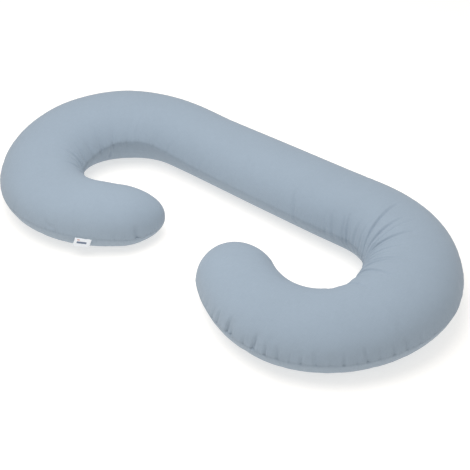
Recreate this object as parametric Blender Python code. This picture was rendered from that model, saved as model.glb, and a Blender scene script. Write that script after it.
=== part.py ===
"""C-shaped pregnancy pillow: one long stuffed cotton tube bent into a C, lying flat, with a small sewn-in label.

Metres, +Z up. The straight back of the C runs along X and both arms hook round towards -Y. The origin is the
middle of the pillow's outline, on the surface that it lies on.
"""
import math
from collections import namedtuple

import bmesh
import bpy
import numpy as np

# The middle line of each half, from the middle of the back to the end of the arm, as runs that each turn evenly.
Run = namedtuple("Run", "length turn_deg")
BEND_RUNS = (
    Run(0.34, 0),
    Run(0.21, 42),
    Run(0.34, 78),
)
RIGHT_RUNS = BEND_RUNS + (
    Run(0.32, 82),
    Run(0.11, 20),
    Run(0.12, -6),
)
LEFT_RUNS = BEND_RUNS + (
    Run(0.32, 84),
    Run(0.11, 20),
    Run(0.11, -6),
)
EASE = 0.14

# Width and height of the tube by distance along the middle line. The filling is uneven, so the halves differ.
Section = namedtuple("Section", "along right_width left_width height")
SECTIONS = (
    Section(0.00, 0.240, 0.240, 0.175),
    Section(0.23, 0.245, 0.230, 0.175),
    Section(0.39, 0.240, 0.235, 0.182),
    Section(0.55, 0.250, 0.260, 0.190),
    Section(0.72, 0.268, 0.245, 0.187),
    Section(0.89, 0.247, 0.240, 0.168),
    Section(1.06, 0.250, 0.240, 0.156),
    Section(1.25, 0.218, 0.216, 0.160),
    Section(1.44, 0.200, 0.176, 0.136),
)
SECTION_EASE = 0.10

# The rounded end of each arm.
END_LENGTH = 0.118
END_ROUNDNESS = 1.7
END_HEIGHT_POWER = 0.85
END_ANGLES = (16, 31, 44, 55, 64, 72, 79, 85)

# The cross-section: its middle stands at this share of the height, and its own weight flattens it underneath.
MIDDLE_SHARE = 0.47
HALF_SHARE = 0.50
FULLNESS = 2.15

# The seam between the top and the bottom panel: a low ridge at half height that drops near the ends of the arms.
SEAM_RIDGE = 0.003
SEAM_RIDGE_SPREAD = 0.020
SEAM_DROP_START = 1.10
SEAM_DROP_DEG = 17

# Folds: each starts at one distance and angle round the tube and ends at another, where it has died away.
# Angles go from 0 at the outer side over 90 at the top to 180 at the inner side.
Fold = namedtuple("Fold", "along angle end_along end_angle half_width depth")
RIGHT_FOLDS = (
    Fold(0.540, 196, 0.436, 84, 0.0130, 0.0085),
    Fold(0.576, 196, 0.505, 94, 0.0100, 0.0080),
    Fold(0.614, 196, 0.566, 84, 0.0100, 0.0080),
    Fold(0.656, 194, 0.616, 96, 0.0090, 0.0055),
    Fold(0.706, 196, 0.676, 88, 0.0100, 0.0080),
    Fold(0.752, 194, 0.716, 96, 0.0090, 0.0055),
    Fold(0.800, 196, 0.774, 92, 0.0100, 0.0065),
    Fold(0.885, 196, 0.855, 92, 0.0110, 0.0050),
    Fold(0.960, 196, 0.945, 112, 0.0105, 0.0040),
    Fold(1.105, -26, 1.096, 38, 0.0130, 0.0050),
    Fold(1.152, -28, 1.150, 34, 0.0140, 0.0075),
)
LEFT_FOLDS = (
    Fold(0.560, 196, 0.530, 134, 0.0100, 0.0040),
    Fold(0.640, 196, 0.622, 138, 0.0095, 0.0045),
    Fold(0.722, 196, 0.712, 132, 0.0100, 0.0050),
    Fold(0.795, 196, 0.792, 136, 0.0095, 0.0045),
    Fold(0.856, 196, 0.866, 130, 0.0100, 0.0050),
    Fold(0.925, 196, 0.908, 126, 0.0095, 0.0055),
    Fold(0.985, 196, 1.000, 128, 0.0095, 0.0045),
    Fold(1.050, 192, 1.062, 134, 0.0100, 0.0040),
    Fold(1.352, -32, 1.350, 26, 0.0120, 0.0060),
)
BACK_FOLDS = (
    Fold(0.402, 198, 0.352, 126, 0.0110, 0.0055),
    Fold(0.330, 198, 0.292, 138, 0.0100, 0.0045),
    Fold(0.196, 198, 0.158, 122, 0.0110, 0.0050),
    Fold(0.075, 196, 0.052, 144, 0.0110, 0.0035),
)
FOLD_SWEEP = 1.25
FOLD_FADE = 0.8
SHOULDER_PLACE = 1.7
SHOULDER_SHARE = 0.32

# The label: a doubled white tape caught in the outer seam of the left arm, hanging down from it.
LABEL_ALONG = 1.230
LABEL_WIDTH = 0.048
LABEL_DROP = 0.028
LABEL_THICKNESS = 0.0016
LABEL_FLARE = 0.002
LABEL_SWING_BACK = 0.010
LABEL_TOP_BELOW_SEAM = 0.001
GAP = 0.0003

# How finely the solids are made.
LINE_STEP = 0.005
BACK_STEP = 0.035
FAN_START = 0.42
FAN_STEP = 0.0115
FAN_END = 0.68
BEND_STEP = 0.018
BEND_END = 1.18
ARM_STEP = 0.026
TOP_STEPS = 19
BOTTOM_STEPS = 8
BESIDE_SEAM = 0.032
PANEL_MARGIN = 0.090
LABEL_STEPS = 6

COTTON = (0.36, 0.43, 0.51, 1.0)
TAPE = (0.82, 0.82, 0.80, 1.0)


def eased(values, reach):
    """Round the corners of a row of evenly spaced values, by a running mean about as long as reach."""
    count = int(reach / LINE_STEP) // 2
    window = np.hanning(2 * count + 3)[1:-1]
    padded = np.pad(values, count, mode="edge")
    return np.convolve(padded, window / window.sum(), mode="valid")


def running_total(rates):
    """Integrate evenly spaced rates along the middle line."""
    return np.concatenate([[0.0], np.cumsum((rates[1:] + rates[:-1]) / 2) * LINE_STEP])


class Half:
    """One half of the pillow, from the middle of the back to the end of one arm."""

    def __init__(self, mirror, runs, widths, folds):
        self.mirror = mirror
        self.folds = folds
        self.length = sum(run.length for run in runs)
        self.grid = np.linspace(0.0, self.length, round(self.length / LINE_STEP) + 1)
        run_ends = np.cumsum([run.length for run in runs])
        rates = [math.radians(run.turn_deg) / run.length for run in runs]
        run_of = np.minimum(np.searchsorted(run_ends, self.grid, side="right"), len(runs) - 1)
        self.heading = running_total(eased(np.array(rates)[run_of], EASE))
        self.x = running_total(np.cos(self.heading))
        self.y = -running_total(np.sin(self.heading))
        rows = [row.along for row in SECTIONS]
        self.half_width = eased(np.interp(self.grid, rows, widths) / 2, SECTION_EASE)
        self.height = eased(np.interp(self.grid, rows, [row.height for row in SECTIONS]), SECTION_EASE)

    def at(self, along, values):
        """Read one of the half's rows of values at the given distances, as a column."""
        return np.interp(along, self.grid, values)[:, None]

    def outward(self, along):
        """Unit vector in plan that points out of the C, as two columns."""
        heading = self.at(along, self.heading)
        return self.mirror * np.sin(heading), np.cos(heading)

    def end_factor(self, along):
        """1 along the tube, falling to 0 round the end of the arm."""
        share = np.clip((along - self.length + END_LENGTH) / END_LENGTH, 0.0, 1.0)
        return np.sqrt(1.0 - share ** END_ROUNDNESS)[:, None]

    def angle(self, along, around):
        """Angle round the tube. Around is 0 at the outer seam, 1 at the inner seam, 2 at the outer seam again."""
        share = np.clip((along - SEAM_DROP_START) / (self.length - SEAM_DROP_START), 0.0, 1.0)
        drop = math.radians(SEAM_DROP_DEG) * share[:, None] ** 2
        top = -drop + (math.pi + 2 * drop) * around
        bottom = math.pi + drop + (math.pi - 2 * drop) * (around - 1)
        return np.where(around <= 1, top, bottom)

    def stretch(self, along, angle):
        """Length of the skin for each unit of the middle line: more outside a bend, less inside it."""
        return 1 + self.at(along, np.gradient(self.heading, self.grid) * self.half_width) * np.cos(angle)

    def fold_depth(self, along, angle):
        """How far the folds move the cloth, out of the tube where positive."""
        total = np.zeros_like(angle)
        stretch = self.stretch(along, angle)
        for fold in self.folds:
            start, end = math.radians(fold.angle), math.radians(fold.end_angle)
            share = np.clip((angle - start) / (end - start), 0.0, 1.0)
            line = fold.end_along + (fold.along - fold.end_along) * (1 - share) ** FOLD_SWEEP
            across = (along[:, None] - line) * stretch / fold.half_width
            valley = np.exp(-across ** 2)
            left = np.exp(-(across + SHOULDER_PLACE) ** 2)
            right = np.exp(-(across - SHOULDER_PLACE) ** 2)
            fade = np.sin(math.pi * share) ** FOLD_FADE
            total += fold.depth * fade * (SHOULDER_SHARE * (left + right) - valley)
        return total

    def skin(self, along, around):
        """Points of the skin, one row for each distance along and one column for each place around."""
        angle = self.angle(along, around)
        ends = self.end_factor(along)
        power = 2 / FULLNESS
        across = np.sign(np.cos(angle)) * np.abs(np.cos(angle)) ** power
        upward = np.sign(np.sin(angle)) * np.abs(np.sin(angle)) ** power
        to_seam = (around - np.round(around)) / SEAM_RIDGE_SPREAD
        ridge = SEAM_RIDGE * np.exp(-to_seam ** 2)[None, :] * ends
        lift = self.fold_depth(along, angle) * ends + ridge
        reach = self.at(along, self.half_width) * ends * across + lift * np.cos(angle)
        height = self.at(along, self.height)
        rise = HALF_SHARE * height * ends ** END_HEIGHT_POWER * upward + lift * np.sin(angle)
        out_x, out_y = self.outward(along)
        x = self.mirror * self.at(along, self.x) + out_x * reach
        y = self.at(along, self.y) + out_y * reach
        z = np.maximum(MIDDLE_SHARE * height + rise, 0.0)
        return np.stack([x, y, z], axis=-1)


def stations(length):
    """Distances along one half at which the body has a ring of points: closer where the folds are."""
    end = length - END_LENGTH
    stretches = (
        (0.0, FAN_START, BACK_STEP),
        (FAN_START, FAN_END, FAN_STEP),
        (FAN_END, BEND_END, BEND_STEP),
        (BEND_END, end, ARM_STEP),
    )
    parts = [np.linspace(low, high, round((high - low) / step), endpoint=False) for low, high, step in stretches]
    shares = np.sin(np.radians(END_ANGLES)) ** (2 / END_ROUNDNESS)
    return np.concatenate(parts + [[end], end + END_LENGTH * shares])


def places_around():
    """Places of a ring's points, with three close together at each seam for its ridge."""
    top = np.linspace(PANEL_MARGIN, 1 - PANEL_MARGIN, TOP_STEPS + 1)
    bottom = np.linspace(1 + PANEL_MARGIN, 2 - PANEL_MARGIN, BOTTOM_STEPS + 1)
    inner = [1 - BESIDE_SEAM, 1, 1 + BESIDE_SEAM]
    return np.concatenate([[0, BESIDE_SEAM], top, inner, bottom, [2 - BESIDE_SEAM]])


def body_rings(right, left):
    """All rings of the body, from the end of the left arm to the end of the right one."""
    around = places_around()
    left_rings = left.skin(stations(left.length), around)
    right_rings = right.skin(stations(right.length), around)
    return np.concatenate([left_rings[::-1], right_rings[1:]])


def add_material(thing, colour, roughness):
    """Give an object its own Principled material."""
    material = bpy.data.materials.new(thing.name + "_cloth")
    material.use_nodes = True
    shader = material.node_tree.nodes["Principled BSDF"]
    shader.inputs["Base Color"].default_value = colour
    shader.inputs["Roughness"].default_value = roughness
    shader.inputs["Metallic"].default_value = 0.0
    thing.data.materials.append(material)


def add_object(name, bm, colour, roughness):
    """Finish a bmesh as a named object in the scene."""
    mesh = bpy.data.meshes.new(name)
    bm.to_mesh(mesh)
    bm.free()
    mesh.shade_smooth()
    thing = bpy.data.objects.new(name, mesh)
    bpy.context.scene.collection.objects.link(thing)
    add_material(thing, colour, roughness)
    return thing


def extruded_ring(bm, ring_edges, ring_verts, points):
    """Extrude a closed ring of edges once and move the new ring onto the given points."""
    grown = bmesh.ops.extrude_edge_only(bm, edges=ring_edges)["geom"]
    new_verts = {item for item in grown if isinstance(item, bmesh.types.BMVert)}
    following = []
    for vert, point in zip(ring_verts, points):
        twin = next(e.other_vert(vert) for e in vert.link_edges if e.other_vert(vert) in new_verts)
        twin.co = point
        following.append(twin)
    return closed_edges(bm, following), following


def closed_edges(bm, verts):
    """The edges that join neighbouring points of a closed ring, made where they are missing."""
    edges = []
    for first, second in zip(verts, verts[1:] + verts[:1]):
        edge = bm.edges.get((first, second)) or bm.edges.new((first, second))
        edges.append(edge)
    return edges


def build_body(rings):
    """The filled body: one ring extruded from section to section, closed at both ends with a small round cap."""
    bm = bmesh.new()
    verts = [bm.verts.new(point) for point in rings[0]]
    edges = closed_edges(bm, verts)
    open_ends = list(edges)
    for points in rings[1:]:
        edges, verts = extruded_ring(bm, edges, verts, points)
    open_ends += edges
    caps = bmesh.ops.holes_fill(bm, edges=open_ends, sides=0)["faces"]
    bmesh.ops.poke(bm, faces=caps)
    bmesh.ops.recalc_face_normals(bm, faces=bm.faces)
    return add_object("filled_body", bm, COTTON, 0.9)


def build_label(left, middle):
    """The label: a strip that follows the outer seam and hangs from it, thickened away from the body."""
    span = LABEL_WIDTH / left.stretch(np.array([LABEL_ALONG]), np.zeros((1, 1))).item()
    along = LABEL_ALONG + span * (np.arange(LABEL_STEPS + 1) / LABEL_STEPS - 0.5)
    seam = left.skin(along, np.array([0.0]))[:, 0, :] - middle
    out_x, out_y = left.outward(along)
    out = np.hstack([out_x, out_y, np.zeros_like(out_x)])
    backward = np.hstack([out_y, -out_x, np.zeros_like(out_x)])
    down = np.array([0.0, 0.0, -1.0])
    near_top = seam + out * GAP + down * LABEL_TOP_BELOW_SEAM
    near_low = near_top + down * LABEL_DROP + out * LABEL_FLARE + backward * LABEL_SWING_BACK
    bm = bmesh.new()
    top = [bm.verts.new(point) for point in near_top]
    low = [bm.verts.new(point) for point in near_low]
    for i in range(LABEL_STEPS):
        bm.faces.new((top[i], low[i], low[i + 1], top[i + 1]))
    label = add_object("side_label", bm, TAPE, 0.7)
    thickness = label.modifiers.new("doubled_tape", "SOLIDIFY")
    thickness.thickness = LABEL_THICKNESS
    thickness.offset = 1.0


def main():
    """Clear the scene and build the pillow."""
    for thing in list(bpy.data.objects):
        bpy.data.objects.remove(thing)
    right = Half(1, RIGHT_RUNS, [row.right_width for row in SECTIONS], RIGHT_FOLDS + BACK_FOLDS)
    left = Half(-1, LEFT_RUNS, [row.left_width for row in SECTIONS], LEFT_FOLDS + BACK_FOLDS)
    rings = body_rings(right, left)
    low, high = rings.min(axis=(0, 1)), rings.max(axis=(0, 1))
    middle = np.array([(low[0] + high[0]) / 2, (low[1] + high[1]) / 2, 0.0])
    build_body(rings - middle)
    build_label(left, middle)


main()
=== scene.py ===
"""The c-shaped pillow dressed for its picture: a stuffed cotton cover with its folds, and a woven label."""
import math
from collections import namedtuple

import bpy
import numpy as np
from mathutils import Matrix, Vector


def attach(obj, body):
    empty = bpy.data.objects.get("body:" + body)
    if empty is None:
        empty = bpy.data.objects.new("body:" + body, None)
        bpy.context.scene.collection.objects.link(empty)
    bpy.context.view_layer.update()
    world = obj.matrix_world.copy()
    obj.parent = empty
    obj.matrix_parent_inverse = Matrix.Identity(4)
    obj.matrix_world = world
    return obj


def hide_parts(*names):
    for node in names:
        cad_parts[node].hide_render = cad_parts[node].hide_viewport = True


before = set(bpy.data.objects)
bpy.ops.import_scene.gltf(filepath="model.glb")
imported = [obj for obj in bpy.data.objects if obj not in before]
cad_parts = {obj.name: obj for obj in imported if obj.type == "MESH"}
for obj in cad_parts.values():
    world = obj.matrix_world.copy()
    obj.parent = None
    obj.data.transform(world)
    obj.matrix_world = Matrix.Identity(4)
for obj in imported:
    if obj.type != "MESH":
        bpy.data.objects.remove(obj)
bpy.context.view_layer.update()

# The middle line of each half, from the middle of the back to the end of the arm, as in the part.
Run = namedtuple("Run", "length turn_deg")
BEND_RUNS = (
    Run(0.34, 0),
    Run(0.21, 42),
    Run(0.34, 78),
)
RIGHT_RUNS = BEND_RUNS + (
    Run(0.32, 82),
    Run(0.11, 20),
    Run(0.12, -6),
)
LEFT_RUNS = BEND_RUNS + (
    Run(0.32, 84),
    Run(0.11, 20),
    Run(0.11, -6),
)
EASE = 0.14
LINE_STEP = 0.005

# Widths of the right and the left half and the height of both, as in the part.
Section = namedtuple("Section", "along right_width left_width height")
SECTIONS = (
    Section(0.00, 0.240, 0.240, 0.175),
    Section(0.23, 0.245, 0.230, 0.175),
    Section(0.39, 0.240, 0.235, 0.182),
    Section(0.55, 0.250, 0.260, 0.190),
    Section(0.72, 0.268, 0.245, 0.187),
    Section(0.89, 0.247, 0.240, 0.168),
    Section(1.06, 0.250, 0.240, 0.156),
    Section(1.25, 0.218, 0.216, 0.160),
    Section(1.44, 0.200, 0.176, 0.136),
)
SECTION_EASE = 0.10

# The round ends of the arms, the cross-section, and how the outer seam drops towards the ends.
END_LENGTH = 0.118
END_ROUNDNESS = 1.7
END_HEIGHT_POWER = 0.85
MIDDLE_SHARE = 0.47
HALF_SHARE = 0.50
FULLNESS = 2.15
SEAM_DROP_START = 1.10
SEAM_DROP_DEG = 17

# Main folds, as in the part: angles go from 0 at the outer side over 90 at the top to 180 at the inner side.
Fold = namedtuple("Fold", "along angle end_along end_angle half_width depth")
RIGHT_FOLDS = (
    Fold(0.540, 196, 0.436, 84, 0.0130, 0.0085),
    Fold(0.576, 196, 0.505, 94, 0.0100, 0.0080),
    Fold(0.614, 196, 0.566, 84, 0.0100, 0.0080),
    Fold(0.656, 194, 0.616, 96, 0.0090, 0.0055),
    Fold(0.706, 196, 0.676, 88, 0.0100, 0.0080),
    Fold(0.752, 194, 0.716, 96, 0.0090, 0.0055),
    Fold(0.800, 196, 0.774, 92, 0.0100, 0.0065),
    Fold(0.885, 196, 0.855, 92, 0.0110, 0.0050),
    Fold(0.960, 196, 0.945, 112, 0.0105, 0.0040),
    Fold(1.105, -26, 1.096, 38, 0.0130, 0.0050),
    Fold(1.152, -28, 1.150, 34, 0.0140, 0.0075),
)
LEFT_FOLDS = (
    Fold(0.560, 196, 0.530, 134, 0.0100, 0.0040),
    Fold(0.640, 196, 0.622, 138, 0.0095, 0.0045),
    Fold(0.722, 196, 0.712, 132, 0.0100, 0.0050),
    Fold(0.795, 196, 0.792, 136, 0.0095, 0.0045),
    Fold(0.856, 196, 0.866, 130, 0.0100, 0.0050),
    Fold(0.925, 196, 0.908, 126, 0.0095, 0.0055),
    Fold(0.985, 196, 1.000, 128, 0.0095, 0.0045),
    Fold(1.050, 192, 1.062, 134, 0.0100, 0.0040),
    Fold(1.352, -32, 1.350, 26, 0.0120, 0.0060),
)
BACK_FOLDS = (
    Fold(0.402, 198, 0.352, 126, 0.0110, 0.0055),
    Fold(0.330, 198, 0.292, 138, 0.0100, 0.0045),
    Fold(0.196, 198, 0.158, 122, 0.0110, 0.0050),
    Fold(0.075, 196, 0.052, 144, 0.0110, 0.0035),
)

# The cover starts with a share of the main folds' depth, and the fine creases add to it.
MAIN_SHARE = 0.30
FOLD_SWEEP = 1.25
FOLD_FADE = 0.8
SHOULDER_PLACE = 1.7
SHOULDER_SHARE = 0.32

# Fine creases, pressed into the settled cloth: the fan of each inner bend, then the comb along the seams.
RIGHT_CREASES = (
    Fold(0.560, 200, 0.436, 78, 0.0038, 0.0056),
    Fold(0.600, 198, 0.500, 90, 0.0034, 0.0053),
    Fold(0.640, 196, 0.518, 80, 0.0031, 0.0037),
    Fold(0.625, 196, 0.566, 88, 0.0032, 0.0050),
    Fold(0.642, 194, 0.590, 94, 0.0027, 0.0031),
    Fold(0.658, 194, 0.628, 98, 0.0029, 0.0034),
    Fold(0.690, 190, 0.660, 112, 0.0027, 0.0022),
    Fold(0.714, 196, 0.688, 88, 0.0036, 0.0053),
    Fold(0.772, 194, 0.702, 98, 0.0029, 0.0028),
    Fold(0.766, 194, 0.768, 92, 0.0031, 0.0034),
    Fold(0.820, 192, 0.806, 112, 0.0031, 0.0022),
    Fold(0.905, 190, 0.850, 92, 0.0040, 0.0024),
    Fold(0.985, 188, 0.960, 118, 0.0040, 0.0006),
    Fold(0.500, 200, 0.446, 132, 0.0040, 0.0020),
    Fold(0.450, 200, 0.408, 136, 0.0044, 0.0022),
    Fold(0.398, 196, 0.350, 132, 0.0040, 0.0024),
    Fold(0.374, 200, 0.338, 136, 0.0040, 0.0026),
    Fold(0.330, 198, 0.295, 140, 0.0040, 0.0018),
    Fold(0.300, 196, 0.276, 146, 0.0036, 0.0014),
    Fold(0.250, 198, 0.232, 150, 0.0036, 0.0010),
    Fold(0.195, 200, 0.158, 130, 0.0046, 0.0022),
    Fold(0.120, 198, 0.104, 152, 0.0040, 0.0010),
    Fold(1.232, -24, 1.228, 18, 0.0038, 0.0021),
    Fold(1.206, -24, 1.200, 22, 0.0040, 0.0033),
    Fold(1.189, -26, 1.184, 30, 0.0038, 0.0042),
    Fold(1.160, -30, 1.156, 34, 0.0044, 0.0063),
    Fold(1.143, -30, 1.150, 26, 0.0040, 0.0069),
    Fold(1.122, -22, 1.118, 20, 0.0034, 0.0030),
    Fold(1.104, -26, 1.097, 32, 0.0042, 0.0057),
    Fold(1.079, -22, 1.076, 24, 0.0036, 0.0042),
    Fold(1.055, -22, 1.058, 28, 0.0040, 0.0045),
    Fold(1.038, -20, 1.036, 18, 0.0034, 0.0030),
    Fold(1.020, -22, 1.016, 22, 0.0036, 0.0039),
    Fold(0.992, -20, 0.996, 26, 0.0038, 0.0042),
    Fold(0.972, -20, 0.970, 18, 0.0034, 0.0027),
    Fold(0.953, -20, 0.950, 22, 0.0038, 0.0036),
    Fold(0.930, -18, 0.932, 18, 0.0034, 0.0027),
    Fold(0.910, -20, 0.916, 28, 0.0040, 0.0042),
    Fold(0.893, -18, 0.890, 20, 0.0036, 0.0027),
    Fold(0.866, -18, 0.868, 18, 0.0036, 0.0027),
    Fold(0.840, -20, 0.844, 24, 0.0040, 0.0033),
    Fold(0.818, -18, 0.815, 20, 0.0038, 0.0024),
    Fold(0.780, -18, 0.784, 20, 0.0040, 0.0014),
)
LEFT_CREASES = (
    Fold(0.500, 188, 0.470, 112, 0.0046, 0.0010),
    Fold(0.560, 198, 0.532, 146, 0.0042, 0.0007),
    Fold(0.640, 196, 0.624, 146, 0.0040, 0.0008),
    Fold(0.655, 218, 0.652, 176, 0.0042, 0.0034),
    Fold(0.722, 196, 0.712, 140, 0.0042, 0.0008),
    Fold(0.795, 196, 0.792, 142, 0.0040, 0.0010),
    Fold(0.868, 194, 0.850, 138, 0.0040, 0.0018),
    Fold(0.905, 196, 0.882, 130, 0.0040, 0.0026),
    Fold(0.938, 198, 0.910, 122, 0.0040, 0.0034),
    Fold(0.968, 196, 0.950, 128, 0.0036, 0.0028),
    Fold(0.998, 198, 1.000, 122, 0.0040, 0.0032),
    Fold(1.026, 194, 1.038, 132, 0.0036, 0.0022),
    Fold(1.058, 196, 1.074, 136, 0.0040, 0.0018),
    Fold(0.430, 200, 0.400, 146, 0.0042, 0.0012),
    Fold(0.330, 198, 0.302, 146, 0.0040, 0.0012),
    Fold(0.210, 198, 0.190, 148, 0.0040, 0.0010),
    Fold(1.352, -38, 1.350, 22, 0.0052, 0.0050),
    Fold(1.378, -38, 1.384, 8, 0.0044, 0.0024),
    Fold(1.322, -30, 1.318, 12, 0.0042, 0.0018),
    Fold(1.292, -26, 1.296, 16, 0.0040, 0.0012),
    Fold(1.160, 2, 1.162, 13, 0.0110, 0.0024),
    Fold(1.176, -22, 1.168, 20, 0.0046, 0.0024),
    Fold(1.148, -20, 1.152, 22, 0.0044, 0.0020),
    Fold(1.110, -18, 1.106, 20, 0.0042, 0.0014),
    Fold(1.064, -18, 1.068, 22, 0.0044, 0.0014),
    Fold(1.010, -18, 1.004, 20, 0.0042, 0.0012),
    Fold(0.950, -18, 0.954, 22, 0.0044, 0.0012),
    Fold(0.880, -20, 0.874, 24, 0.0048, 0.0014),
)
CREASE_SWEEP = 1.5

# Small puckers of the sewing thread, spaced and sized at random along both seams.
PUCKER_SEED = 11
PUCKER_PITCH = 0.014
PUCKER_SCATTER = 0.4
PUCKER_REACH_DEG = (8, 20)
PUCKER_HALF_WIDTH = (0.0028, 0.0044)
PUCKER_DEPTH = (0.0001, 0.0006)
PUCKER_LEAN = 0.006

# The seam: the panels meet in a low edge, with the stitched line sunk into it.
# The inner edge stands out and sits highest in the left bend: the top panel runs down to it almost flat.
Ridge = namedtuple("Ridge", "along height above raised_deg")
RIGHT_RIDGE = (
    Ridge(0.00, 0.0100, 0.028, 0),
    Ridge(0.30, 0.0095, 0.026, 0),
    Ridge(0.50, 0.0065, 0.012, 0),
    Ridge(1.45, 0.0050, 0.012, 0),
)
LEFT_RIDGE = (
    Ridge(0.00, 0.0100, 0.028, 0),
    Ridge(0.20, 0.0110, 0.030, 1),
    Ridge(0.32, 0.0130, 0.034, 6),
    Ridge(0.45, 0.0170, 0.040, 10),
    Ridge(0.60, 0.0180, 0.040, 9),
    Ridge(0.70, 0.0150, 0.036, 3),
    Ridge(0.80, 0.0110, 0.026, 0),
    Ridge(0.92, 0.0065, 0.014, 0),
    Ridge(1.44, 0.0050, 0.012, 0),
)
OUTER_RIDGE = 0.0052
OUTER_ABOVE = 0.012
OUTER_BELOW = 0.050
INNER_BELOW = 0.075
SEAM_SUNK = 0.0016
SUNK_SPREAD = 0.0022
# Painted shade: a thin darker line in the cloth's colour along both seams, standing in for the shadow in the
# stitched groove.
SEAM_PAINTED_SHADE = 0.06
PAINTED_SHADE_SPREAD = 0.0018

# The cloth grid: spacing along the tube, steps across each panel, closer places beside each seam, ends.
STATION_STEP = 0.0070
TOP_STEPS = 32
BOTTOM_STEPS = 20
BESIDE_SEAM = (0.012, 0.030)
END_RINGS = 20
END_LAST_DEG = 87
PANEL_LIFT = 0.001

# The cloth simulation, with the stuffing as a gentle pressure, and the share of its fine moves kept.
SIM_FRAMES = 20
CLOTH_QUALITY = 5
PRESSURE = 4.0
VERTEX_MASS = 0.05
STIFFNESS = 30.0
SHEAR = 5.0
BENDING = 0.005
DAMPING = 5.0
START_NOISE = 0.0004
NOISE_SEED = 5
MOVE_CAP = 0.010
SMOOTH_REACH = 0.060
SETTLE_SHARE = 0.20
FLOOR_TOUCH = 0.0005

# Added to lengths that are divided by, so that none is zero.
TINY_MOVE = 1e-9
TINY_NORMAL = 1e-12

# The label, where the part has it: its place and size, and how the doubled tape turns and waves.
LABEL_ALONG = 1.230
LABEL_WIDTH = 0.048
LABEL_DROP = 0.028
LABEL_FLARE = 0.003
LABEL_SWING_BACK = 0.010
LABEL_BELOW_SEAM = 0.001
LABEL_IN_SEAM = 0.002
LABEL_TUCK = 0.003
LABEL_GAP = 0.0006
LABEL_TURN = 0.0004
LABEL_LAYER = 0.0004
LABEL_WAVE = 0.0008
LABEL_WAVE_SPAN = (0.6, 5.2)
LABEL_COLUMNS = 32
LABEL_ROWS = 16
LABEL_TURN_STEPS = 6

# Cloth colours, thread pitch, finish and how far the tone varies.
COTTON_COLOUR = (0.300, 0.364, 0.433)
COTTON_PITCH = 0.00045
COTTON_FINISH = {
    "Roughness": 0.88,
    "Specular IOR Level": 0.22,
    "Sheen Weight": 0.12,
    "Sheen Roughness": 0.5,
}
SLUB_TONE = 0.16
MOTTLE_TONE = 0.05
WEAVE_TONE = 0.06
TAPE_COLOUR = (0.78, 0.81, 0.85)
TAPE_PITCH = 0.00030
TAPE_FINISH = {
    "Roughness": 0.7,
    "Specular IOR Level": 0.3,
}

# Noises in the cloth: scale for each metre in both directions of the flat places, and fine detail.
Noise = namedtuple("Noise", "across down detail")
WARP_SLUBS = Noise(1500.0, 45.0, 3.0)
WEFT_SLUBS = Noise(45.0, 1500.0, 3.0)
MOTTLE = Noise(11.0, 11.0, 3.0)
RUMPLE = Noise(38.0, 38.0, 4.0)
NOISE_MIDDLE = 0.5

# The finest gathers that the thread pulls up: scale away from the seam and along it, and their reach.
GATHERS = Noise(22.0, 250.0, 2.0)
GATHER_REACH = 0.020

# Bump of each layer, in metres, and its strength.
Bump = namedtuple("Bump", "distance strength")
RUMPLE_BUMP = Bump(0.0020, 0.20)
GATHER_BUMP = Bump(0.0030, 1.0)
SLUB_BUMP = Bump(0.0001, 0.35)
WEAVE_BUMP = Bump(0.0001, 0.45)
TAPE_BUMP = Bump(0.00008, 0.5)

# Plain bars woven into the label where the photographed one has its mark.
Bar = namedtuple("Bar", "across down half_length half_height colour")
LABEL_BARS = (
    Bar(0.023, 0.0175, 0.0140, 0.0034, (0.15, 0.19, 0.27)),
    Bar(0.012, 0.0090, 0.0038, 0.0016, (0.60, 0.27, 0.22)),
)

# Soft studio light and a pale floor.
SURROUND_COLOUR = (1.0, 1.0, 1.0, 1.0)
SURROUND_STRENGTH = 0.60
LAMP_PLACE = (-0.12, -0.38, 2.0)
LAMP_TARGET = (0.0, 0.0, 0.0)
LAMP_SIZE = 2.0
LAMP_POWER = 31.0
FLOOR_HALF_SIDE = 30.0
FLOOR_HEIGHT = -0.0005
FLOOR_FINISH = {
    "Base Color": (0.61, 0.58, 0.54, 1.0),
    "Roughness": 1.0,
    "Specular IOR Level": 0.0,
    "Emission Color": (1.0, 1.0, 1.0, 1.0),
    "Emission Strength": 0.56,
}

# Camera at the photograph's angle. Lens and sensor are in millimetres.
VIEW_AZIMUTH_DEG = 39.15
VIEW_ELEVATION_DEG = 37.8
VIEW_DISTANCE = 2.898
VIEW_TARGET = (0.1126, -0.0703, 0.100)
VIEW_LENS = 80.4
SENSOR_WIDTH = 36


def eased(values, reach):
    """Round the corners of a row of evenly spaced values, by a running mean about as long as reach."""
    count = int(reach / LINE_STEP) // 2
    window = np.hanning(2 * count + 3)[1:-1]
    padded = np.pad(values, count, mode="edge")
    return np.convolve(padded, window / window.sum(), mode="valid")


def running_total(rates):
    """Integrate evenly spaced rates along the middle line."""
    return np.concatenate([[0.0], np.cumsum((rates[1:] + rates[:-1]) / 2) * LINE_STEP])


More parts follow.
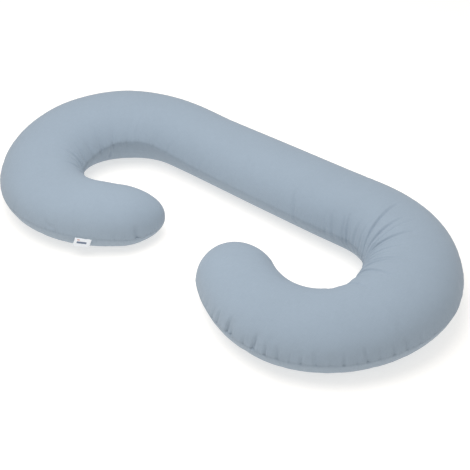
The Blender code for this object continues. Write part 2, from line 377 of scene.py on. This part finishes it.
class Half:
    """One half of the pillow, from the middle of the back to the end of one arm."""

    def __init__(self, mirror, runs, widths, folds, creases, ridge):
        self.mirror = mirror
        self.folds = folds
        self.creases = creases
        self.ridge = ridge
        self.length = sum(run.length for run in runs)
        self.grid = np.linspace(0.0, self.length, round(self.length / LINE_STEP) + 1)
        run_ends = np.cumsum([run.length for run in runs])
        rates = [math.radians(run.turn_deg) / run.length for run in runs]
        run_of = np.minimum(np.searchsorted(run_ends, self.grid, side="right"), len(runs) - 1)
        self.heading = running_total(eased(np.array(rates)[run_of], EASE))
        self.x = running_total(np.cos(self.heading))
        self.y = -running_total(np.sin(self.heading))
        rows = [row.along for row in SECTIONS]
        self.half_width = eased(np.interp(self.grid, rows, widths) / 2, SECTION_EASE)
        self.height = eased(np.interp(self.grid, rows, [row.height for row in SECTIONS]), SECTION_EASE)

    def at(self, along, values):
        """Read one of the half's rows of values at the given distances, as a column."""
        return np.interp(along, self.grid, values)[:, None]

    def outward(self, along):
        """Unit vector in plan that points out of the C, as two columns."""
        heading = self.at(along, self.heading)
        return self.mirror * np.sin(heading), np.cos(heading)

    def end_factor(self, along):
        """1 along the tube, falling to 0 round the end of the arm."""
        share = np.clip((along - self.length + END_LENGTH) / END_LENGTH, 0.0, 1.0)
        return np.sqrt(1.0 - share ** END_ROUNDNESS)[:, None]

    def angle(self, along, around):
        """Angle round the tube. Around is 0 at the outer seam, 1 at the inner one, 2 at the outer."""
        share = np.clip((along - SEAM_DROP_START) / (self.length - SEAM_DROP_START), 0.0, 1.0)
        drop = math.radians(SEAM_DROP_DEG) * share[:, None] ** 2
        raised = np.radians(self.ridge_row("raised_deg", along))[:, None]
        top = -drop + (math.pi + 2 * drop - raised) * around
        bottom = math.pi + drop - raised + (math.pi - 2 * drop + raised) * (around - 1)
        return np.where(around <= 1, top, bottom)

    def ridge_row(self, name, along):
        """One column of the table of the inner seam's edge, at the given distances."""
        return np.interp(along, [row.along for row in self.ridge], [getattr(row, name) for row in self.ridge])

    def stretch(self, along, angle):
        """Length of the skin for each unit of the middle line: more outside a bend, less inside it."""
        return 1 + self.at(along, np.gradient(self.heading, self.grid) * self.half_width) * np.cos(angle)

    def fold_depth(self, folds, along, angle, sweep):
        """How far the folds move the cloth, out of the tube where positive."""
        total = np.zeros_like(angle)
        stretch = self.stretch(along, angle)
        for fold in folds:
            start, end = math.radians(fold.angle), math.radians(fold.end_angle)
            share = np.clip((angle - start) / (end - start), 0.0, 1.0)
            line = fold.end_along + (fold.along - fold.end_along) * (1 - share) ** sweep
            across = (along[:, None] - line) * stretch / fold.half_width
            valley = np.exp(-across ** 2)
            left = np.exp(-(across + SHOULDER_PLACE) ** 2)
            right = np.exp(-(across - SHOULDER_PLACE) ** 2)
            fade = np.sin(math.pi * share) ** FOLD_FADE
            total += fold.depth * fade * (SHOULDER_SHARE * (left + right) - valley)
        return total

    def skin(self, along, around):
        """Points of the skin, one row for each distance along and one column for each place around."""
        angle = self.angle(along, around)
        ends = self.end_factor(along)
        power = 2 / FULLNESS
        across = np.sign(np.cos(angle)) * np.abs(np.cos(angle)) ** power
        upward = np.sign(np.sin(angle)) * np.abs(np.sin(angle)) ** power
        lift = MAIN_SHARE * self.fold_depth(self.folds, along, angle, FOLD_SWEEP) * ends
        reach = self.at(along, self.half_width) * ends * across + lift * np.cos(angle)
        height = self.at(along, self.height)
        rise = HALF_SHARE * height * ends ** END_HEIGHT_POWER * upward + lift * np.sin(angle)
        out_x, out_y = self.outward(along)
        x = self.mirror * self.at(along, self.x) + out_x * reach
        y = self.at(along, self.y) + out_y * reach
        z = np.maximum(MIDDLE_SHARE * height + rise, 0.0)
        return np.stack([x, y, z], axis=-1)

    def pattern(self, along, skin):
        """The flat cut of both panels, laid out in plan from the lengths measured over the skin."""
        top = arc_lengths(skin[:, : PANEL + 1])
        bottom = arc_lengths(np.concatenate([skin[:, PANEL:], skin[:, :1]], axis=1))
        width = top[:, -1:]
        under = bottom * width / bottom[:, -1:] - width / 2
        side = np.concatenate([width / 2 - top, under[:, 1:-1]], axis=1)
        steps = np.linalg.norm(np.diff(skin[:, PANEL // 2], axis=0), axis=-1)
        heading = self.at(along, self.heading)[:, 0]
        between = (heading[1:] + heading[:-1]) / 2
        x = np.concatenate([[0.0], np.cumsum(steps * np.cos(between))])
        y = -np.concatenate([[0.0], np.cumsum(steps * np.sin(between))])
        flat_x = self.mirror * (x[:, None] + np.sin(heading)[:, None] * side)
        flat_y = y[:, None] + np.cos(heading)[:, None] * side
        layer = np.zeros_like(side)
        layer[:, 1:PANEL] = PANEL_LIFT
        layer[:, PANEL + 1:] = -PANEL_LIFT
        return np.stack([flat_x, flat_y, layer], axis=-1)


def arc_lengths(rows):
    """Running length along each row of points."""
    steps = np.linalg.norm(np.diff(rows, axis=1), axis=-1)
    return np.concatenate([np.zeros((len(rows), 1)), np.cumsum(steps, axis=1)], axis=1)


def stations(length):
    """Distances along one half at which the cloth grid has a ring."""
    end = length - END_LENGTH
    straight = np.linspace(0.0, end, round(end / STATION_STEP), endpoint=False)
    angles = np.radians(np.linspace(0, END_LAST_DEG, END_RINGS))
    return np.concatenate([straight, end + END_LENGTH * np.sin(angles) ** (2 / END_ROUNDNESS)])


def places_across(steps):
    """Places of a panel's points from one seam at 0 to the other at 1."""
    margin = BESIDE_SEAM[-1]
    near = np.array((0.0,) + BESIDE_SEAM[:-1])
    return np.concatenate([near, np.linspace(margin, 1 - margin, steps + 1), 1 - near[::-1]])


def finer_places(places):
    """A ring's places with one more between every two, round to the first again at 2."""
    closed = np.append(places, 2.0)
    both = np.empty(2 * len(places))
    both[0::2] = places
    both[1::2] = (closed[:-1] + closed[1:]) / 2
    return both


TOP_PLACES = places_across(TOP_STEPS)
AROUND = np.concatenate([TOP_PLACES, 1 + places_across(BOTTOM_STEPS)[1:-1]])
PANEL = len(TOP_PLACES) - 1
INNER_SEAM = 2 * PANEL


def ring_faces(rings, around):
    """Quads of a closed tube of rings, and a fan at each end to two last points."""
    faces = []
    for i in range(rings - 1):
        for j in range(around):
            k = (j + 1) % around
            faces.append((i * around + j, i * around + k, (i + 1) * around + k, (i + 1) * around + j))
    last = (rings - 1) * around
    for j in range(around):
        k = (j + 1) % around
        faces.append((k, j, rings * around))
        faces.append((last + j, last + k, rings * around + 1))
    return faces


def joined(parts):
    """One row from the end of the left arm to the end of the right arm, from the left and the right half."""
    left, right = parts
    return np.concatenate([left[::-1], right[1:]])


def with_ends(grid):
    """All points of a grid of rings in one list, with the middle of the first and of the last ring added."""
    flat = grid.reshape(-1, 3)
    return np.vstack([flat, grid[0].mean(axis=0), grid[-1].mean(axis=0)])


def new_mesh(name, points, faces):
    """A mesh object from points and faces."""
    mesh = bpy.data.meshes.new(name)
    mesh.from_pydata([tuple(point) for point in points], [], faces)
    mesh.update()
    thing = bpy.data.objects.new(name, mesh)
    bpy.context.scene.collection.objects.link(thing)
    return thing


def smoothed_along(values):
    """The slow part of a grid's values along the tube."""
    count = round(SMOOTH_REACH / STATION_STEP)
    window = np.hanning(2 * count + 3)[1:-1]
    window /= window.sum()
    padded = np.pad(values, ((count, count), (0, 0), (0, 0)), mode="edge")
    return sum(weight * padded[k:k + len(values)] for k, weight in enumerate(window))


def settled(grid, pattern):
    """Let the cloth settle under pressure, with the lengths of its flat cut, and return the moved grid."""
    rings, around, _ = grid.shape
    rng = np.random.default_rng(NOISE_SEED)
    start = grid + rng.normal(0.0, START_NOISE, grid.shape) * (grid[..., 2:] > FLOOR_TOUCH)
    points = with_ends(start)
    cloth = new_mesh("settling_cloth", points, ring_faces(rings, around))
    cloth.shape_key_add(name="Basis")
    cut = cloth.shape_key_add(name="flat_cut")
    cut.data.foreach_set("co", with_ends(pattern).astype(np.float32).ravel())
    cut.value = 0.0
    held = cloth.vertex_groups.new(name="held")
    held.add(np.flatnonzero(points[:, 2] <= FLOOR_TOUCH).tolist(), 1.0, "REPLACE")
    modifier = cloth.modifiers.new("cloth", "CLOTH")
    settings = modifier.settings
    settings.quality = CLOTH_QUALITY
    settings.mass = VERTEX_MASS
    settings.tension_stiffness = STIFFNESS
    settings.compression_stiffness = STIFFNESS
    settings.shear_stiffness = SHEAR
    settings.bending_stiffness = BENDING
    settings.tension_damping = DAMPING
    settings.compression_damping = DAMPING
    settings.shear_damping = DAMPING
    settings.use_pressure = True
    settings.uniform_pressure_force = PRESSURE
    settings.effector_weights.gravity = 0.0
    settings.vertex_group_mass = "held"
    settings.rest_shape_key = cut
    modifier.collision_settings.use_collision = False
    modifier.point_cache.frame_start = 1
    modifier.point_cache.frame_end = SIM_FRAMES + 1
    for step in range(1, SIM_FRAMES + 1):
        bpy.context.scene.frame_set(step)
    done = cloth.evaluated_get(bpy.context.evaluated_depsgraph_get()).to_mesh()
    moved = np.empty(len(points) * 3, np.float32)
    done.vertices.foreach_get("co", moved)
    bpy.data.objects.remove(cloth)
    bpy.context.scene.frame_set(1)
    move = moved.reshape(-1, 3)[:rings * around].reshape(grid.shape) - grid
    move = SETTLE_SHARE * (move - smoothed_along(move))
    size = np.linalg.norm(move, axis=-1, keepdims=True) + TINY_MOVE
    return grid + move / size * MOVE_CAP * np.tanh(size / MOVE_CAP)


def finer(grid, axis, closed):
    """Put a point between every two along one axis, by the four-point rule: 9, 9, -1 and -1 in 16."""
    grid = np.moveaxis(grid, axis, 0)
    if closed:
        after = np.roll(grid, -1, axis=0)
        second = np.roll(grid, -2, axis=0)
        before = np.roll(grid, 1, axis=0)
        middle = (9 * (grid + after) - before - second) / 16
    else:
        padded = np.concatenate([grid[:1], grid, grid[-1:]])
        middle = (9 * (padded[1:-2] + padded[2:-1]) - padded[:-3] - padded[3:]) / 16
    both = np.empty((len(grid) + len(middle),) + grid.shape[1:])
    both[0::2] = grid
    both[1::2] = middle
    return np.moveaxis(both, 0, axis)


def thread_puckers(half, rng):
    """Small random folds across both seams of one half."""
    puckers = []
    for seam_deg in (0, 180):
        inward = 1 if seam_deg == 0 else -1
        for along in np.arange(PUCKER_PITCH, half.length - END_LENGTH, PUCKER_PITCH):
            place = along + rng.uniform(-PUCKER_SCATTER, PUCKER_SCATTER) * PUCKER_PITCH
            lean = rng.uniform(-1, 1) * PUCKER_LEAN
            above, below = rng.uniform(*PUCKER_REACH_DEG, 2)
            puckers.append(Fold(
                place,
                seam_deg - inward * below,
                place + lean,
                seam_deg + inward * above,
                rng.uniform(*PUCKER_HALF_WIDTH),
                rng.uniform(*PUCKER_DEPTH),
            ))
    return tuple(puckers)


def surface_normals(grid):
    """Unit normals of a closed tube of rings, pointing out of it."""
    lengthways = np.gradient(grid, axis=0)
    around = np.roll(grid, -1, axis=1) - np.roll(grid, 1, axis=1)
    normals = np.cross(around, lengthways)
    return normals / (np.linalg.norm(normals, axis=-1, keepdims=True) + TINY_NORMAL)


def seam_distances(grid):
    """Distances over the skin to the outer and to the inner seam."""
    top = arc_lengths(grid[:, :INNER_SEAM + 1])
    bottom = arc_lengths(np.concatenate([grid[:, INNER_SEAM:], grid[:, :1]], axis=1))[:, 1:]
    to_outer = np.concatenate([top, bottom[:, -1:] - bottom[:, :-1]], axis=1)
    to_inner = np.concatenate([top[:, -1:] - top, bottom[:, :-1]], axis=1)
    return to_outer, to_inner


def seam_places(grid, halves, alongs):
    """Places beside the seams: the distance to the nearer seam, and how far along the pillow."""
    nearer = np.minimum(*seam_distances(grid))
    along = joined([half.mirror * values for half, values in zip(halves, alongs)])
    along = np.broadcast_to(along[:, None], nearer.shape)
    return np.stack([nearer, along, np.zeros_like(nearer)], axis=-1)


def seam_lift(grid, height, above):
    """The low edge along both seams, with the stitched line sunk into it. The inner edge varies along."""
    to_outer, to_inner = seam_distances(grid)
    is_top = np.arange(grid.shape[1]) <= INNER_SEAM
    outer_below = np.clip(1 - to_outer / OUTER_BELOW, 0.0, 1.0) ** 2
    inner_below = np.clip(1 - to_inner / INNER_BELOW, 0.0, 1.0) ** 2
    ridge = OUTER_RIDGE * np.where(is_top, np.exp(-to_outer / OUTER_ABOVE), outer_below)
    ridge += height[:, None] * np.where(is_top, np.exp(-to_inner / above[:, None]), inner_below)
    return ridge - SEAM_SUNK * np.exp(-(np.minimum(to_outer, to_inner) / SUNK_SPREAD) ** 2)


def creased(grid, halves, alongs):
    """Press the seam, the fine creases and the thread's puckers into the settled cloth."""
    rng = np.random.default_rng(PUCKER_SEED)
    around = finer_places(AROUND)
    lifts, heights, spreads, ends = [], [], [], []
    for half, along in zip(halves, alongs):
        angle = half.angle(along, around)
        folds = half.creases + thread_puckers(half, rng)
        ends.append(half.end_factor(along))
        lifts.append(half.fold_depth(folds, along, angle, CREASE_SWEEP) * ends[-1])
        heights.append(half.ridge_row("height", along))
        spreads.append(half.ridge_row("above", along))
    lift = joined(lifts) + seam_lift(grid, joined(heights), joined(spreads)) * joined(ends)
    return grid + surface_normals(grid) * lift[..., None]


def new_material(name, finish):
    """A material with its node tree and its shader, which gets the values of its named inputs."""
    material = bpy.data.materials.new(name)
    material.use_nodes = True
    shader = material.node_tree.nodes["Principled BSDF"]
    for socket, value in finish.items():
        shader.inputs[socket].default_value = value
    return material, material.node_tree, shader


def add_node(tree, kind, settings=None, **values):
    """Add a shader node with its properties and the values of its named inputs."""
    made = tree.nodes.new(kind)
    for name, value in (settings or {}).items():
        setattr(made, name, value)
    for name, value in values.items():
        made.inputs[name.replace("_", " ")].default_value = value
    return made


def worked(tree, operation, *terms):
    """The result of a Math node on sockets and numbers."""
    made = tree.nodes.new("ShaderNodeMath")
    made.operation = operation
    for slot, term in zip(made.inputs, terms):
        if isinstance(term, bpy.types.NodeSocket):
            tree.links.new(term, slot)
        else:
            slot.default_value = term
    return made.outputs[0]


def map_places(tree, name):
    """The places of a UV map in metres, as one vector and as two numbers."""
    layer = add_node(tree, "ShaderNodeUVMap", {"uv_map": name}).outputs[0]
    parted = tree.nodes.new("ShaderNodeSeparateXYZ")
    tree.links.new(layer, parted.inputs[0])
    return layer, parted.outputs[0], parted.outputs[1]


def weave_height(tree, across, down, pitch):
    """Height of a plain weave, from -1 to 1: threads that pass over and under each other."""
    turn = math.pi / pitch
    warp = worked(tree, "SINE", worked(tree, "MULTIPLY", across, turn))
    weft = worked(tree, "SINE", worked(tree, "MULTIPLY", down, turn))
    return worked(tree, "MULTIPLY", warp, weft)


def noise(tree, vector, kind):
    """A noise in the flat cloth, finer where its scale is larger."""
    mapping = add_node(tree, "ShaderNodeMapping", Scale=(kind.across, kind.down, 1.0))
    tree.links.new(vector, mapping.inputs["Vector"])
    made = add_node(tree, "ShaderNodeTexNoise", Scale=1.0, Detail=kind.detail)
    tree.links.new(mapping.outputs[0], made.inputs["Vector"])
    return made.outputs[0]


def bumped(tree, shader, *layers):
    """Give a shader bump layers, each a height with its Bump, one over the other."""
    normal = None
    for height, layer in layers:
        bump = add_node(tree, "ShaderNodeBump", Strength=layer.strength, Distance=layer.distance)
        tree.links.new(height, bump.inputs["Height"])
        if normal is not None:
            tree.links.new(normal, bump.inputs["Normal"])
        normal = bump.outputs[0]
    tree.links.new(normal, shader.inputs["Normal"])


def shaded(tree, colour, amount):
    """A colour made lighter and darker by an amount, which is a socket from about 0.9 to 1.1."""
    made = add_node(tree, "ShaderNodeVectorMath", {"operation": "SCALE"})
    made.inputs[0].default_value = colour
    tree.links.new(amount, made.inputs["Scale"])
    return made.outputs[0]


def cotton_material():
    """Matt blue-grey plain-weave cotton with slightly uneven threads, and a thin painted shade along the
    seams.
    """
    material, tree, shader = new_material("blue_grey_cotton", COTTON_FINISH)
    place, across, down = map_places(tree, "flat_cut")
    weave = weave_height(tree, across, down, COTTON_PITCH)
    warp_slubs = noise(tree, place, WARP_SLUBS)
    weft_slubs = noise(tree, place, WEFT_SLUBS)
    mottle = noise(tree, place, MOTTLE)
    slubs = worked(tree, "SUBTRACT", worked(tree, "ADD", warp_slubs, weft_slubs), 2 * NOISE_MIDDLE)
    tone = worked(tree, "MULTIPLY_ADD", slubs, SLUB_TONE, 1.0)
    mottle = worked(tree, "SUBTRACT", mottle, NOISE_MIDDLE)
    tone = worked(tree, "MULTIPLY_ADD", mottle, MOTTLE_TONE, tone)
    tone = worked(tree, "MULTIPLY_ADD", weave, WEAVE_TONE, tone)
    # Painted shade: the cloth's colour is darkened in a thin line along both seams, for the shadow in the
    # stitched groove.
    seam_place, from_seam, _ = map_places(tree, "seam_places")
    spread = worked(tree, "POWER", worked(tree, "DIVIDE", from_seam, PAINTED_SHADE_SPREAD), 2.0)
    line = worked(tree, "EXPONENT", worked(tree, "MULTIPLY", spread, -1.0))
    tone = worked(tree, "MULTIPLY_ADD", line, -SEAM_PAINTED_SHADE, tone)
    tree.links.new(shaded(tree, COTTON_COLOUR, tone), shader.inputs["Base Color"])
    fade = worked(tree, "EXPONENT", worked(tree, "DIVIDE", from_seam, -GATHER_REACH))
    pulled = worked(tree, "SUBTRACT", noise(tree, seam_place, GATHERS), NOISE_MIDDLE)
    gathers = worked(tree, "MULTIPLY", pulled, fade)
    rumple = noise(tree, place, RUMPLE)
    bumped(
        tree,
        shader,
        (rumple, RUMPLE_BUMP),
        (gathers, GATHER_BUMP),
        (slubs, SLUB_BUMP),
        (weave, WEAVE_BUMP),
    )
    return material


def bar_mask(tree, across, down, bar):
    """1 inside a plain woven bar, 0 outside it."""
    inside = worked(tree, "COMPARE", across, bar.across, bar.half_length)
    return worked(tree, "MULTIPLY", inside, worked(tree, "COMPARE", down, bar.down, bar.half_height))


def tape_material():
    """White woven tape with two plain bars in place of any wording."""
    material, tree, shader = new_material("white_tape", TAPE_FINISH)
    _, across, down = map_places(tree, "flat_cut")
    weave = weave_height(tree, across, down, TAPE_PITCH)
    tone = worked(tree, "MULTIPLY_ADD", weave, WEAVE_TONE, 1.0)
    colour = shaded(tree, TAPE_COLOUR, tone)
    for bar in LABEL_BARS:
        mix = add_node(tree, "ShaderNodeMix", {"data_type": "RGBA"})
        factor, under, over = [slot for slot in mix.inputs if slot.enabled]
        tree.links.new(bar_mask(tree, across, down, bar), factor)
        tree.links.new(colour, under)
        over.default_value = (*bar.colour, 1.0)
        colour = next(slot for slot in mix.outputs if slot.enabled)
    tree.links.new(colour, shader.inputs["Base Color"])
    bumped(tree, shader, (weave, TAPE_BUMP))
    return material


def sheet_cut(sheet):
    """Flat places of a grid of points, from the lengths along its rows and its columns."""
    across = arc_lengths(sheet)
    down = arc_lengths(np.swapaxes(sheet, 0, 1)).T
    return np.stack([across, down], axis=-1).reshape(-1, 2)


def lay_out(thing, name, places, faces):
    """Give a mesh a UV map of places in metres."""
    layer = thing.data.uv_layers.new(name=name)
    corners = np.concatenate([np.asarray(face) for face in faces])
    layer.data.foreach_set("uv", places[corners].astype(np.float32).ravel())


def label_path():
    """Distance away from the seam and distance down, along the doubled tape."""
    down = np.linspace(0.0, LABEL_DROP - LABEL_TURN, LABEL_ROWS)
    turn = np.radians(np.linspace(0, 180, LABEL_TURN_STEPS + 1))[1:-1]
    away = np.concatenate([
        np.full(LABEL_ROWS, 2 * LABEL_TURN),
        LABEL_TURN * (1 + np.cos(turn)),
        np.zeros(LABEL_ROWS),
    ])
    return away, np.concatenate([down, down[-1] + LABEL_TURN * np.sin(turn), down[::-1]])


def build_label(grid, along):
    """The label: one tape folded double and caught in the outer seam of the left arm."""
    seam_line = grid[:len(along), 0][::-1]
    travelled = arc_lengths(seam_line[None])[0]
    middle = np.interp(LABEL_ALONG, along, travelled)
    wanted = middle + LABEL_WIDTH * (np.arange(LABEL_COLUMNS + 1) / LABEL_COLUMNS - 0.5)
    seam = np.stack([np.interp(wanted, travelled, seam_line[:, k]) for k in range(3)], axis=-1)
    line = seam[-1] - seam[0]
    tangent = np.array([line[0], line[1], 0.0]) / math.hypot(line[0], line[1])
    outward = np.array([tangent[1], -tangent[0], 0.0])
    away, down = label_path()
    share = down / LABEL_DROP
    tuck = np.clip(down / LABEL_TUCK, 0.0, 1.0)
    wave = LABEL_WAVE * np.sin(np.linspace(*LABEL_WAVE_SPAN, LABEL_COLUMNS + 1))
    reach = (LABEL_GAP + away + LABEL_FLARE * share) * tuck - LABEL_IN_SEAM * (1 - tuck)
    reach = reach[:, None] + share[:, None] * wave
    sheet = seam[None] + outward * reach[..., None]
    sheet -= tangent * (LABEL_SWING_BACK * share)[:, None, None]
    sheet[..., 2] -= (LABEL_BELOW_SEAM + down)[:, None]
    rows, columns, _ = sheet.shape
    faces = []
    for i in range(rows - 1):
        for j in range(columns - 1):
            first = i * columns + j
            faces.append((first, first + 1, first + columns + 1, first + columns))
    label = new_mesh("woven_label", sheet.reshape(-1, 3), faces)
    lay_out(label, "flat_cut", sheet_cut(sheet), faces)
    layer = label.modifiers.new("tape", "SOLIDIFY")
    layer.thickness = LABEL_LAYER
    layer.offset = 0.0
    label.data.shade_smooth()
    label.data.materials.append(tape_material())
    return label


def build_cover():
    """The stuffed cover: grid, simulated settling, finer grid, creases, mesh. Returns it with its grid."""
    left_widths = [row.left_width for row in SECTIONS]
    right_widths = [row.right_width for row in SECTIONS]
    left = Half(-1, LEFT_RUNS, left_widths, LEFT_FOLDS + BACK_FOLDS, LEFT_CREASES, LEFT_RIDGE)
    right = Half(1, RIGHT_RUNS, right_widths, RIGHT_FOLDS + BACK_FOLDS, RIGHT_CREASES, RIGHT_RIDGE)
    halves = (left, right)
    alongs = [stations(half.length) for half in halves]
    skins = [half.skin(along, AROUND) for half, along in zip(halves, alongs)]
    cuts = [half.pattern(along, skin) for half, along, skin in zip(halves, alongs, skins)]
    grid = joined(skins)
    pattern = joined(cuts)
    low, high = grid.min(axis=(0, 1)), grid.max(axis=(0, 1))
    grid[..., :2] -= (low[:2] + high[:2]) / 2
    grid = settled(grid, pattern)
    grid = finer(finer(grid, 0, False), 1, True)
    pattern = finer(finer(pattern, 0, False), 1, True)
    alongs = [finer(along[:, None], 0, False)[:, 0] for along in alongs]
    grid = creased(grid, halves, alongs)
    grid[..., 2] = np.maximum(grid[..., 2], 0.0)
    rings, around, _ = grid.shape
    faces = ring_faces(rings, around)
    cover = new_mesh("filled_cover", with_ends(grid), faces)
    lay_out(cover, "flat_cut", with_ends(pattern)[:, :2], faces)
    lay_out(cover, "seam_places", with_ends(seam_places(grid, halves, alongs))[:, :2], faces)
    cover.data.shade_smooth()
    cover.data.materials.append(cotton_material())
    return cover, grid, alongs[0]


def build_floor():
    """A plain pale floor that glows a little, so that the shadows on it stay soft and pale."""
    signs = ((-1, -1), (1, -1), (1, 1), (-1, 1))
    corners = [(FLOOR_HALF_SIDE * x, FLOOR_HALF_SIDE * y, FLOOR_HEIGHT) for x, y in signs]
    floor = new_mesh("floor", corners, [(0, 1, 2, 3)])
    floor.data.materials.append(new_material("pale_floor", FLOOR_FINISH)[0])


def add_aimed(name, data, place, target):
    """Put a lamp or camera at a place, turned towards a point."""
    thing = bpy.data.objects.new(name, data)
    bpy.context.scene.collection.objects.link(thing)
    thing.location = place
    thing.rotation_euler = (Vector(target) - thing.location).to_track_quat("-Z", "Y").to_euler()
    return thing


def build_light():
    """Soft studio light: a white surround and one large round lamp above the middle of the C."""
    world = bpy.data.worlds.new("studio")
    bpy.context.scene.world = world
    world.use_nodes = True
    background = world.node_tree.nodes["Background"]
    background.inputs["Color"].default_value = SURROUND_COLOUR
    background.inputs["Strength"].default_value = SURROUND_STRENGTH
    data = bpy.data.lights.new("top_lamp", "AREA")
    data.shape = "DISK"
    data.size = LAMP_SIZE
    data.energy = LAMP_POWER
    add_aimed("top_lamp", data, LAMP_PLACE, LAMP_TARGET)


def build_camera():
    """The photograph's view."""
    azimuth, elevation = math.radians(VIEW_AZIMUTH_DEG), math.radians(VIEW_ELEVATION_DEG)
    level = math.cos(elevation)
    back = Vector((math.sin(azimuth) * level, -math.cos(azimuth) * level, math.sin(elevation)))
    data = bpy.data.cameras.new("photo_camera")
    data.sensor_width = SENSOR_WIDTH
    data.lens = VIEW_LENS
    place = Vector(VIEW_TARGET) + back * VIEW_DISTANCE
    bpy.context.scene.camera = add_aimed("photo_camera", data, place, VIEW_TARGET)


build_camera()
cover, cover_grid, cover_along = build_cover()
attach(cover, "root")
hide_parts("filled_body")
label = build_label(cover_grid, cover_along)
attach(label, "root")
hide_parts("side_label")
build_floor()
build_light()
bpy.context.scene.view_settings.view_transform = "Standard"
